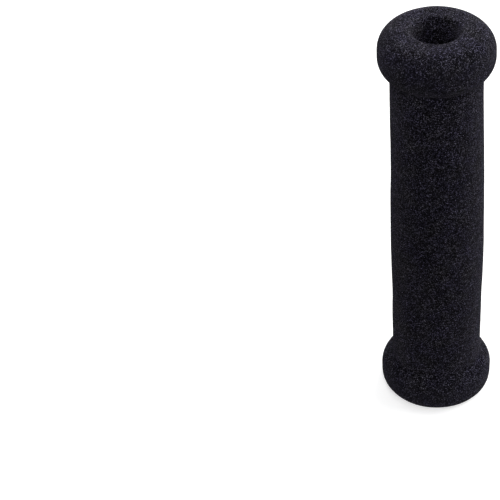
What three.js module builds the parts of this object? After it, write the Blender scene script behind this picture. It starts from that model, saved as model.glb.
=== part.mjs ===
// Foam handlebar grip: a barrel-shaped tube with a rolled flange at each end, moulded in one piece.
// Millimetres, +Z up. The grip stands on its inner end, with the origin at the centre of that end's face.
// The bar enters the wide bore from below, and the outer end above is closed but for a small hole.
import * as THREE from "three";

// Overall
const gripLength = 130;

// Tube between the flanges
const tubeDiameterInner = 26.6; // where the inner flange ends
const tubeDiameterOuter = 26.3; // where the outer flange ends
const barrelSwell = 0.45; // added to the radius half-way along

// Inner flange, against the rider's thumb
const innerFlangeDiameter = 33.2;
const innerFlangeWidth = 12.9; // end face to the notch at the tube
const innerFaceRound = 4.6; // corner between the end face and the rim
const innerBackRound = 5.6; // corner between the rim and the tube

// Outer flange, at the end of the bar
const outerFlangeDiameter = 33.1;
const outerFlangeWidth = 13.9;
const outerFaceRound = 5.9;
const outerBackRound = 5.9;

// Notch where a flange meets the tube
const notchRound = 1.0;

// Inside
const boreDiameter = 19; // relaxed: the foam stretches over a 22.2 mm bar
const endWall = 12; // foam left across the outer end of the bore
const endHoleDiameter = 13.6; // lets the air out and is pushed off the moulding core
const mouthRound = 0.6; // edge of both holes at the end faces

// Fineness of the solid
const turnSteps = 64;
const degreesPerStep = 15;
const tubeSteps = 8;

const foam = { color: 0x2a292f, roughness: 0.95, metalness: 0 };

// An arc of the outline about (r, z), from one angle to another in degrees, both ends included.
function arc(r, z, radius, from, to) {
  const steps = Math.max(2, Math.ceil(Math.abs(to - from) / degreesPerStep));
  return Array.from({ length: steps + 1 }, (_, i) => {
    const angle = THREE.MathUtils.degToRad(from + ((to - from) * i) / steps);
    return new THREE.Vector2(r + radius * Math.cos(angle), z + radius * Math.sin(angle));
  });
}

// A flange on the end face z = 0, from its face round to its notch on a tube of the given radius.
// The back of the rim is an arc that the tube cuts before it comes round to the tube's own direction.
// A small fillet, tangent to that arc and to the tube, fills the notch.
function flangeOutline({ diameter, width, faceRound, backRound, tubeRadius }) {
  const rim = diameter / 2;
  const backCentre = rim - backRound;
  const reach = backRound + notchRound;
  const filletCentre = tubeRadius + notchRound;
  const lean = Math.acos((filletCentre - backCentre) / reach);
  const notchZ = width;
  const backZ = notchZ - reach * Math.sin(lean);
  const leanDegrees = THREE.MathUtils.radToDeg(lean);
  return [
    ...arc(rim - faceRound, faceRound, faceRound, -90, 0),
    ...arc(backCentre, backZ, backRound, 0, leanDegrees),
    ...arc(filletCentre, notchZ, notchRound, leanDegrees - 180, -180).slice(1),
  ];
}

// The tube between two heights: a straight taper with a parabola added for the swell.
function tubeOutline(fromZ, toZ, fromRadius, toRadius) {
  return Array.from({ length: tubeSteps - 1 }, (_, i) => {
    const along = (i + 1) / tubeSteps;
    const swell = barrelSwell * 4 * along * (1 - along);
    const radius = THREE.MathUtils.lerp(fromRadius, toRadius, along) + swell;
    return new THREE.Vector2(radius, THREE.MathUtils.lerp(fromZ, toZ, along));
  });
}

// The same outline seen from the other end of the grip, walked the other way.
function fromOuterEnd(outline) {
  return outline.map((p) => new THREE.Vector2(p.x, gripLength - p.y)).reverse();
}

// Half of the grip's section: up the outside, over the outer end, and down the bore to where it began.
function gripSection() {
  const innerTube = tubeDiameterInner / 2;
  const outerTube = tubeDiameterOuter / 2;
  const bore = boreDiameter / 2;
  const endHole = endHoleDiameter / 2;
  const innerFlange = flangeOutline({
    diameter: innerFlangeDiameter,
    width: innerFlangeWidth,
    faceRound: innerFaceRound,
    backRound: innerBackRound,
    tubeRadius: innerTube,
  });
  const outerFlange = flangeOutline({
    diameter: outerFlangeDiameter,
    width: outerFlangeWidth,
    faceRound: outerFaceRound,
    backRound: outerBackRound,
    tubeRadius: outerTube,
  });
  const section = [
    ...innerFlange,
    ...tubeOutline(innerFlangeWidth, gripLength - outerFlangeWidth, innerTube, outerTube),
    ...fromOuterEnd(outerFlange),
    ...arc(endHole + mouthRound, gripLength - mouthRound, mouthRound, 90, 180),
    new THREE.Vector2(endHole, gripLength - endWall),
    new THREE.Vector2(bore, gripLength - endWall),
    ...arc(bore + mouthRound, mouthRound, mouthRound, 180, 270),
  ];
  return [...section, section[0].clone()];
}

// The section turned about the grip's axis, which stands along +Z.
function foamGrip() {
  const geometry = new THREE.LatheGeometry(gripSection(), turnSteps).rotateX(Math.PI / 2);
  const mesh = new THREE.Mesh(geometry, new THREE.MeshStandardMaterial(foam));
  mesh.name = "foam_grip";
  return mesh;
}

const grip = new THREE.Group();
grip.add(foamGrip());

export default grip;
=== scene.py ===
import math

import bpy
import numpy as np
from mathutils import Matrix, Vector


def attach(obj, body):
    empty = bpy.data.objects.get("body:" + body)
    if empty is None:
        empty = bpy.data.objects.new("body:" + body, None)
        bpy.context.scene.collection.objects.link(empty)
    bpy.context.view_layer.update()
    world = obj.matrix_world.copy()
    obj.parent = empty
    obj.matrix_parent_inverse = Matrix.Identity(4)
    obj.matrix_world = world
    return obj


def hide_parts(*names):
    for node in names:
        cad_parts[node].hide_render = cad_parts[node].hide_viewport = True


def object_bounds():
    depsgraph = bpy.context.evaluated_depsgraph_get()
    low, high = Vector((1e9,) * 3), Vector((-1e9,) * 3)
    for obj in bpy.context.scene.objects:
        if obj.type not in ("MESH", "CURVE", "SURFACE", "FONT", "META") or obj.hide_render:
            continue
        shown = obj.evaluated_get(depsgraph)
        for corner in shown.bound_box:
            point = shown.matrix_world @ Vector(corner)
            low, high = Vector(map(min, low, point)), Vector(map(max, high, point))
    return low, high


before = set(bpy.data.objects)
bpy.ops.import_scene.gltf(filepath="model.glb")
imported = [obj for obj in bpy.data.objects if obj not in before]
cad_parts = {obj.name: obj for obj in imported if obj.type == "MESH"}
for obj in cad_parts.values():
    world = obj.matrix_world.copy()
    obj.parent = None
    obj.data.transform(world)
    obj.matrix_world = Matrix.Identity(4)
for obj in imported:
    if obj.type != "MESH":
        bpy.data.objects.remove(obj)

# The CAD model's box, kept before anything is added
CAD_LOW, CAD_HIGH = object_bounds()
MM = 0.001

# The grip's own sizes, in metres. It stands on its inner end, where the bar goes in.
LENGTH = CAD_HIGH.z - CAD_LOW.z
TUBE_RADIUS_INNER = 13.3 * MM
TUBE_RADIUS_OUTER = 13.15 * MM
BARREL_SWELL = 0.45 * MM
INNER_RIM_RADIUS = 16.6 * MM
INNER_FLANGE_WIDTH = 12.9 * MM
INNER_FACE_ROUND = 4.6 * MM
INNER_BACK_ROUND = 5.6 * MM
OUTER_RIM_RADIUS = 16.55 * MM
OUTER_FLANGE_WIDTH = 13.9 * MM
OUTER_FACE_ROUND = 5.9 * MM
OUTER_BACK_ROUND = 5.9 * MM
NOTCH_ROUND = 1.0 * MM
BORE_RADIUS = 9.5 * MM
END_WALL = 12.0 * MM
END_HOLE_RADIUS = 6.8 * MM
MOUTH_ROUND = 0.6 * MM

# How finely the outline and the foam's skin are drawn
DEGREES_APART = 4
TUBE_STEPS = 60
RINGS_APART = 0.39 * MM
BORE_RINGS_APART = 3.2 * MM
STEPS_ROUND = 220

# The grip's slight sideways bow, a sine of its height: its size, the half waves in the grip's length, and
# how many of them lie below its first zero
BOW = 0.2 * MM
BOW_HALF_WAVES = 1.5
BOW_BELOW_ZERO = 0.3

# The foam's unevenness, from the broadest to the finest: height or depth, length across, and noise seed
SLUMP = 0.13 * MM
SLUMP_LENGTH = 30 * MM
SLUMP_SEED = 664
LUMP = 0.135 * MM
LUMP_LENGTH = 9 * MM
LUMP_SEED = 858
BUBBLE_DEPTH = 0.03 * MM
BUBBLE_APART = 1.15 * MM
BUBBLE_RADIUS = 0.55  # as a share of BUBBLE_APART
BUBBLE_SEED = 11
CRUMB = 0.02 * MM
CRUMB_LENGTH = 0.5 * MM
CRUMB_SEED = 29
HIGHEST = 0.3 * MM  # the most that they raise the skin together

# The small hole's front edge lies further in than a circle's, and the face eases towards it
HOLE_DRAWN_IN = 0.6 * MM
HOLE_EASE = 2.5 * MM

# The noise patterns are turned off the grip's own axes, or their grid would show along the tube
NOISE_TURN = (0.62, 0.47, 0.35)

# How many cells, crumbs, and clouds of tone or of tint the foam's skin has to a metre
CELLS = 4600.0
CRUMBS = 4000.0
TONE_CLOUDS = 160.0
TINT_CLOUDS = 200.0

# How strongly the cells' shades, the crumbs' peaks and the clouds of tone part pale from dark
SHADE_CONTRAST = 4.2
PEAK_CONTRAST = 1.2
TONE_CHANGE = 0.3

# The flanges' faces and rims are more even: the contrast that they lose, and the tone that they gain
FLANGE_EVENNESS = 0.3
FLANGE_TONE = 0.02

# Which cells are flecks, by a random number from 0 to 1, and how much of the fleck's colour they take. A
# fleck is partly a pale speck of the foam and partly a painted glint on a cell wall.
FLECK_AND_GLINT_ABOVE = 0.985
FLECK_AND_GLINT_SHARE = 0.5

# The foam's colours, each in a bluer and a greyer tint
PORE_BLUER = (0.0008, 0.0007, 0.0015, 1)
PORE_GREYER = (0.0009, 0.0008, 0.0013, 1)
WALL_BLUER = (0.190, 0.177, 0.288, 1)
WALL_GREYER = (0.207, 0.199, 0.248, 1)
# The flecks' colour: partly a pale speck's, partly a painted glint's
FLECK_AND_GLINT = (0.14, 0.13, 0.17, 1)

# The camera, which sees the grip's middle at a pixel of the 500 by 500 picture
PICTURE = 500
SENSOR = 36.0
FOCAL_PIXELS = 2159.8
DISTANCE = 0.6392
ELEVATION = math.radians(38.555)
SEEN_AT = (436.63, 215.10)

# The studio: each softbox's angles round and above the grip in degrees, its distance and width in metres,
# and its power. The low one at the rear lights only the grip's back.
SOFTBOXES = (
    ("front_softbox", 0, 43, 0.40, 0.3, 0.83),
    ("right_softbox", 97, 38, 0.38, 0.3, 0.94),
    ("low_right_softbox", 118, 8, 0.50, 0.25, 0.49),
    ("right_rear_softbox", 150, 30, 0.50, 0.3, 1.4),
    ("near_left_softbox", -120, 62, 0.14, 0.06, 0.046),
    ("low_rear_softbox", 180, 4, 0.50, 0.25, 1.0),
)
FILL = 0.12
TABLE_RADIUS = 50 * MM
FLOOR_RADIUS = 1.6
FLOOR_SWEEP = 0.6
WALL_TOP = 3.0
FLOOR_STEPS = 96


def arc(r, z, radius, start, stop):
    """Points (r + radius cos a, z + radius sin a), with a going evenly from start to stop in degrees."""
    a = np.radians(np.linspace(start, stop, 2 + int(abs(stop - start) / DEGREES_APART)))
    return np.stack([r + radius * np.cos(a), z + radius * np.sin(a)], 1)


def flange_outline(rim, width, face_round, back_round, tube_radius):
    """A flange's outline on the end face z = 0: an arc from the face to the rim, an arc from the rim back
    towards the tube, and a fillet that touches that arc from outside and the tube's straight side."""
    back_centre = rim - back_round
    reach = back_round + NOTCH_ROUND
    lean = math.acos((tube_radius + NOTCH_ROUND - back_centre) / reach)
    back_z = width - reach * math.sin(lean)
    turn = math.degrees(lean)
    return np.concatenate([
        arc(rim - face_round, face_round, face_round, -90, 0),
        arc(back_centre, back_z, back_round, 0, turn),
        arc(tube_radius + NOTCH_ROUND, width, NOTCH_ROUND, turn - 180, -180)[1:],
    ])


def tube_outline():
    """The tube between its notches: a taper plus the swell times 4 s (1 - s), with s from 0 to 1."""
    s = np.linspace(0, 1, TUBE_STEPS)[1:-1]
    taper = (TUBE_RADIUS_OUTER - TUBE_RADIUS_INNER) * s
    radius = TUBE_RADIUS_INNER + taper + BARREL_SWELL * 4 * s * (1 - s)
    z = INNER_FLANGE_WIDTH + (LENGTH - OUTER_FLANGE_WIDTH - INNER_FLANGE_WIDTH) * s
    return np.stack([radius, z], 1)


def evenly(outline, apart):
    """The outline walked again in equal steps, as near to apart as its length allows, without its last
    point."""
    along = np.concatenate([[0], np.cumsum(np.hypot(*np.diff(outline, axis=0).T))])
    at = np.linspace(0, along[-1], 1 + max(2, round(along[-1] / apart)))[:-1]
    return np.stack([np.interp(at, along, outline[:, k]) for k in (0, 1)], 1)


def grip_section():
    """Half of the grip's section as one closed line (r, z): from the bore's mouth up the outside, over the
    outer end into its small hole, then out to the bore and down it in wider steps."""
    outer = flange_outline(
        OUTER_RIM_RADIUS, OUTER_FLANGE_WIDTH, OUTER_FACE_ROUND, OUTER_BACK_ROUND, TUBE_RADIUS_OUTER)
    inner = flange_outline(
        INNER_RIM_RADIUS, INNER_FLANGE_WIDTH, INNER_FACE_ROUND, INNER_BACK_ROUND, TUBE_RADIUS_INNER)
    under_wall = LENGTH - END_WALL
    skin = np.concatenate([
        arc(BORE_RADIUS + MOUTH_ROUND, MOUTH_ROUND, MOUTH_ROUND, 180, 270),
        inner,
        tube_outline(),
        outer[::-1] * [1, -1] + [0, LENGTH],
        arc(END_HOLE_RADIUS + MOUTH_ROUND, LENGTH - MOUTH_ROUND, MOUTH_ROUND, 90, 180),
        [[END_HOLE_RADIUS, under_wall]],
    ])
    ledge = np.array([[END_HOLE_RADIUS, under_wall], [BORE_RADIUS, under_wall]])
    wall = np.array([[BORE_RADIUS, under_wall], [BORE_RADIUS, MOUTH_ROUND]])
    return np.concatenate([
        evenly(skin, RINGS_APART),
        evenly(ledge, RINGS_APART),
        evenly(wall, BORE_RINGS_APART),
    ])


def scatter(cells, seed):
    """A number from 0 to 1 for each whole-numbered cell (x, y, z): the three and the seed are mixed by large
    odd factors, and the bits are stirred twice."""
    x, y, z = (cells.astype(np.int64).astype(np.uint32)[..., k] for k in range(3))
    h = x * np.uint32(374761393) + y * np.uint32(668265263) + z * np.uint32(2147483647)
    h = h + np.uint32(seed * 1274126177 % 2 ** 32)
    h = (h ^ (h >> np.uint32(13))) * np.uint32(1103515245)
    h = (h ^ (h >> np.uint32(16))) * np.uint32(2246822519)
    return (h ^ (h >> np.uint32(15))).astype(float) / 2 ** 32


def swells(points, size, seed):
    """Smooth noise from -1 to 1: a random height at each corner of a lattice of that size, eased between
    corners by t t (3 - 2 t)."""
    p = points / size
    low = np.floor(p)
    t = p - low
    t = t * t * (3 - 2 * t)
    total = np.zeros(points.shape[:-1])
    for corner in np.ndindex(2, 2, 2):
        share = np.prod(np.where(np.array(corner) == 1, t, 1 - t), axis=-1)
        total += share * scatter(low + corner, seed)
    return total * 2 - 1


def bubbles(points, size, seed):
    """Distance to the nearest bubble's centre, in sizes: one centre is thrown at random into each cell."""
    p = points / size
    low = np.floor(p)
    nearest = np.full(points.shape[:-1], np.inf)
    for near in np.ndindex(3, 3, 3):
        cell = low + near - 1
        centre = cell + np.stack([scatter(cell, seed + k) for k in range(3)], -1)
        nearest = np.minimum(nearest, np.linalg.norm(p - centre, axis=-1))
    return nearest


def foam_surface():
    """The section turned about z, as points (ring, step, xyz): each lies at (r cos a, r sin a, z). It is
    moved along the section's normal by the foam's slumps, lumps, pits and crumbs, then along x by the whole
    grip's bow, a sine of its height. Round the small hole it also moves along y, by ((1 - sin a) / 2)
    squared, which is 1 at the front and 0 at the back."""
    section = grip_section()
    ahead = np.roll(section, -1, 0) - np.roll(section, 1, 0)
    normal = np.stack([ahead[:, 1], -ahead[:, 0]], 1) / np.linalg.norm(ahead, axis=1, keepdims=True)
    a = np.linspace(0, 2 * np.pi, STEPS_ROUND, endpoint=False)
    around = np.stack([np.cos(a), np.sin(a)], 1)

    def turned(flat):
        r_part = flat[:, None, :1] * around[None]
        z_part = np.broadcast_to(flat[:, None, 1:], (len(flat), len(a), 1))
        return np.concatenate([r_part, z_part], -1)

    points = turned(section)
    outward = turned(normal)
    pits = np.clip(1 - bubbles(points, BUBBLE_APART, BUBBLE_SEED) / BUBBLE_RADIUS, 0, 1)
    height = (
        SLUMP * swells(points, SLUMP_LENGTH, SLUMP_SEED)
        + LUMP * swells(points, LUMP_LENGTH, LUMP_SEED)
        - BUBBLE_DEPTH * pits * pits
        + CRUMB * swells(points, CRUMB_LENGTH, CRUMB_SEED)
    )
    height = np.minimum(height, HIGHEST)
    moved = points + outward * height[..., None]
    moved[..., 2] = np.clip(moved[..., 2], 0, LENGTH)
    s = moved[..., 2] / LENGTH
    moved[..., 0] += BOW * np.sin(np.pi * (BOW_HALF_WAVES * s - BOW_BELOW_ZERO))
    near_hole = np.clip(1 - (section[:, 0] - END_HOLE_RADIUS) / HOLE_EASE, 0, 1)
    moved[..., 1] += HOLE_DRAWN_IN * near_hole[:, None] * ((1 - np.sin(a)) / 2) ** 2
    return moved


def closed_mesh(name, points):
    """A mesh of quads between neighbouring points of a grid that closes on itself both ways."""
    rings, steps = points.shape[:2]
    index = np.arange(rings * steps).reshape(rings, steps)
    up = np.roll(index, -1, 0)
    quads = np.stack([index, np.roll(index, -1, 1), np.roll(up, -1, 1), up], -1).reshape(-1, 4)
    mesh = bpy.data.meshes.new(name)
    mesh.vertices.add(rings * steps)
    mesh.vertices.foreach_set("co", points.astype(np.float32).ravel())
    mesh.loops.add(quads.size)
    mesh.loops.foreach_set("vertex_index", quads.astype(np.int32).ravel())
    mesh.polygons.add(len(quads))
    mesh.polygons.foreach_set("loop_start", np.arange(0, quads.size, 4, dtype=np.int32))
    mesh.polygons.foreach_set("use_smooth", np.ones(len(quads), bool))
    mesh.update(calc_edges=True)
    mesh.validate()
    return mesh


class Wire:
    """A node's output, wrapped so that shader maths reads as Python: each operator adds one Math node."""

    def __init__(self, recipe, socket):
        self.recipe = recipe
        self.socket = socket

    def maths(self, operation, *values):
        inputs = dict(enumerate(values))
        return self.recipe.add("ShaderNodeMath", {"operation": operation}, inputs)[0]

    def __add__(self, other):
        return self.maths("ADD", self, other)

    def __sub__(self, other):
        return self.maths("SUBTRACT", self, other)

    def __rsub__(self, other):
        return self.maths("SUBTRACT", other, self)

    def __mul__(self, other):
        return self.maths("MULTIPLY", self, other)

    def __pow__(self, other):
        return self.maths("POWER", self, other)

    def __gt__(self, other):
        return self.maths("GREATER_THAN", self, other)

    def __abs__(self):
        return self.maths("ABSOLUTE", self)

    __radd__ = __add__
    __rmul__ = __mul__


class Recipe:
    """A material's nodes. add() makes any node: its settings first, then its sockets' values or wires. It
    gives back a wire for each output that the settings leave in use."""

    def __init__(self, name):
        self.material = bpy.data.materials.new(name)
        self.material.use_nodes = True
        self.tree = self.material.node_tree
        self.tree.nodes.clear()

    def add(self, kind, settings, inputs):
        node = self.tree.nodes.new(kind)
        for key, value in settings.items():
            setattr(node, key, value)
        for key, value in inputs.items():
            if isinstance(value, Wire):
                self.tree.links.new(value.socket, node.inputs[key])
            else:
                node.inputs[key].default_value = value
        return [Wire(self, socket) for socket in node.outputs if socket.enabled]

    def noise(self, place, scale, detail):
        """Smooth noise round 0.5."""
        return self.add("ShaderNodeTexNoise", {}, {"Vector": place, "Scale": scale, "Detail": detail})[0]

    def between(self, value, low, high):
        """0 where the value is low or less, 1 where it is high or more, and straight between."""
        return self.add("ShaderNodeMapRange", {}, {"Value": value, "From Min": low, "From Max": high})[0]

    def mix(self, share, first, second):
        """The colour first where share is 0 and second where it is 1, on the node's sockets 6 and 7."""
        settings = {"data_type": "RGBA", "clamp_factor": True}
        return self.add("ShaderNodeMix", settings, {0: share, 6: first, 7: second})[0]

    def finish(self, shader):
        self.add("ShaderNodeOutputMaterial", {}, {"Surface": shader})
        return self.material


def foam_material():
    """Black cellular foam: each tiny cell has a shade of its own, from a dark pore to a paler torn wall.
    Here and there a cell is a pale fleck, partly a speck of the foam and partly a painted glint, and crumbs
    stand a little proud.
    The flanges' faces and rims are a little more even than the tube."""
    foam = Recipe("black_cellular_foam")
    straight = foam.add("ShaderNodeTexCoord", {}, {})[3]  # the object's own coordinates
    place = foam.add("ShaderNodeMapping", {}, {"Vector": straight, "Rotation": NOISE_TURN})[0]

    x, y, z = foam.add("ShaderNodeSeparateXYZ", {}, {"Vector": straight})
    radius = (x * x + y * y) ** 0.5
    out_at_rim = foam.between(radius, TUBE_RADIUS_OUTER, INNER_RIM_RADIUS)
    out_at_end = foam.between(
        abs(z - LENGTH / 2), LENGTH / 2 - OUTER_FLANGE_WIDTH, LENGTH / 2 - OUTER_FACE_ROUND)
    even = out_at_rim * out_at_end

    cell = foam.add("ShaderNodeTexVoronoi", {"feature": "F1"}, {"Vector": place, "Scale": CELLS})
    shade = foam.add("ShaderNodeSeparateColor", {}, {"Color": cell[1]})
    crumb = foam.noise(place, CRUMBS, 0.0)
    peak = foam.between(crumb, 0.34, 0.70)
    tone = foam.noise(place, TONE_CLOUDS, 2.0) * TONE_CHANGE + (1 - TONE_CHANGE / 2)
    skin = shade[0] ** SHADE_CONTRAST * peak ** PEAK_CONTRAST * tone
    pale = skin * (1 - even * FLANGE_EVENNESS) + even * FLANGE_TONE

    tint = foam.between(foam.noise(place, TINT_CLOUDS, 1.0), 0.3, 0.7)
    pore = foam.mix(tint, PORE_BLUER, PORE_GREYER)
    wall = foam.mix(tint, WALL_BLUER, WALL_GREYER)
    # Pale flecks on random cells: partly specks of the foam, partly painted glints
    fleck_and_glint = (shade[1] > FLECK_AND_GLINT_ABOVE) * FLECK_AND_GLINT_SHARE
    colour = foam.mix(fleck_and_glint, foam.mix(pale, pore, wall), FLECK_AND_GLINT)

    bump = foam.add("ShaderNodeBump", {}, {"Strength": 1.0, "Distance": 0.3 * MM, "Height": crumb})
    shader = foam.add("ShaderNodeBsdfPrincipled", {}, {
        "Base Color": colour,
        "Roughness": 0.9,
        "Specular IOR Level": 0.03,
        "Sheen Weight": 0.06,
        "Sheen Roughness": 0.3,
        "Sheen Tint": (0.85, 0.8, 1.0, 1),
        "Normal": bump[0],
    })
    return foam.finish(shader[0])


def floor_material():
    """Plain pale studio board. Its own glow only whitens the picture: it lights nothing."""
    board = Recipe("pale_board")
    straight_on = board.add("ShaderNodeLightPath", {}, {})[0]
    glow = board.mix(straight_on, (0, 0, 0, 1), (1, 1, 1, 1))
    shader = board.add("ShaderNodeBsdfPrincipled", {}, {
        "Base Color": (0.7, 0.7, 0.705, 1),
        "Roughness": 0.9,
        "Specular IOR Level": 0.1,
        "Emission Color": glow,
        "Emission Strength": 0.6,
    })
    return board.finish(shader[0])


def make_grip():
    """The foam grip, which stands for the plain CAD solid."""
    grip = bpy.data.objects.new("foam_grip_skin", closed_mesh("foam_grip_skin", foam_surface()))
    bpy.context.scene.collection.objects.link(grip)
    grip.data.materials.append(foam_material())
    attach(grip, "root")
    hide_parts("foam_grip")


def staged(name, line, board):
    """A sheet of the stage: a line (r, z) turned about z. A line of one point gives the disc inside it."""
    steps = FLOOR_STEPS
    a = np.linspace(0, 2 * np.pi, steps, endpoint=False)
    points = [(r * math.cos(b), r * math.sin(b), z) for r, z in line for b in a]
    faces = []
    for ring in range(len(line) - 1):
        below = ring * steps
        above = below + steps
        for i in range(steps):
            after = (i + 1) % steps
            faces.append((below + i, below + after, above + after, above + i))
    if len(line) == 1:
        faces.append(range(steps))
    mesh = bpy.data.meshes.new(name)
    mesh.from_pydata(points, [], faces)
    mesh.materials.append(board)
    sheet = bpy.data.objects.new(name, mesh)
    bpy.context.scene.collection.objects.link(sheet)
    sheet.visible_glossy = False
    return sheet


def make_floor():
    """A floor that turns up into a round wall far off. Only the small round of it that the grip stands on
    throws light back, up under the lower flange. The rest throws none, so that the floor can be white and
    the foam still dark underneath, and the fill from below comes from the world instead."""
    board = floor_material()
    staged("table", [(TABLE_RADIUS, 0)], board)
    floor = staged("floor", np.concatenate([
        [[TABLE_RADIUS, 0], [FLOOR_RADIUS, 0]],
        arc(FLOOR_RADIUS, FLOOR_SWEEP, FLOOR_SWEEP, -90, 0),
        [[FLOOR_RADIUS + FLOOR_SWEEP, WALL_TOP]],
    ]), board)
    floor.visible_diffuse = False


def make_camera():
    """The camera stands off the grip's middle at the picture's elevation, aimed so that the middle falls
    on its pixel: it looks straight at the middle and is then turned by the angle to that pixel."""
    middle = (CAD_LOW + CAD_HIGH) / 2
    place = middle + DISTANCE * Vector((0, -math.cos(ELEVATION), math.sin(ELEVATION)))
    data = bpy.data.cameras.new("camera")
    data.sensor_width = SENSOR
    data.lens = FOCAL_PIXELS * SENSOR / PICTURE
    camera = bpy.data.objects.new("camera", data)
    bpy.context.scene.collection.objects.link(camera)
    straight = (middle - place).to_track_quat("-Z", "Y")
    across, down = (at - PICTURE / 2 for at in SEEN_AT)
    seen = Vector((across, -down, -FOCAL_PIXELS))
    turn = Vector((0, 0, -1)).rotation_difference(seen)
    camera.rotation_mode = "QUATERNION"
    camera.rotation_quaternion = straight @ turn.inverted()
    camera.location = place
    bpy.context.scene.camera = camera


def softbox(name, azimuth, elevation, distance, width, power):
    """A square area light at an angle round the grip, from -Y towards +X, facing its middle."""
    a, e = math.radians(azimuth), math.radians(elevation)
    towards = Vector((math.sin(a) * math.cos(e), -math.cos(a) * math.cos(e), math.sin(e)))
    data = bpy.data.lights.new(name, "AREA")
    data.size = width
    data.energy = power
    light = bpy.data.objects.new(name, data)
    light.location = (CAD_LOW + CAD_HIGH) / 2 + towards * distance
    light.rotation_mode = "QUATERNION"
    light.rotation_quaternion = (-towards).to_track_quat("-Z", "Y")
    bpy.context.scene.collection.objects.link(light)


def make_lights():
    """The softboxes, and an even fill from all round."""
    for light in SOFTBOXES:
        softbox(*light)
    world = bpy.data.worlds.new("studio")
    bpy.context.scene.world = world
    world.use_nodes = True
    background = world.node_tree.nodes["Background"]
    background.inputs["Color"].default_value = (1, 1, 1, 1)
    background.inputs["Strength"].default_value = FILL


make_camera()
make_grip()
make_floor()
make_lights()
bpy.context.scene.view_settings.view_transform = "Standard"
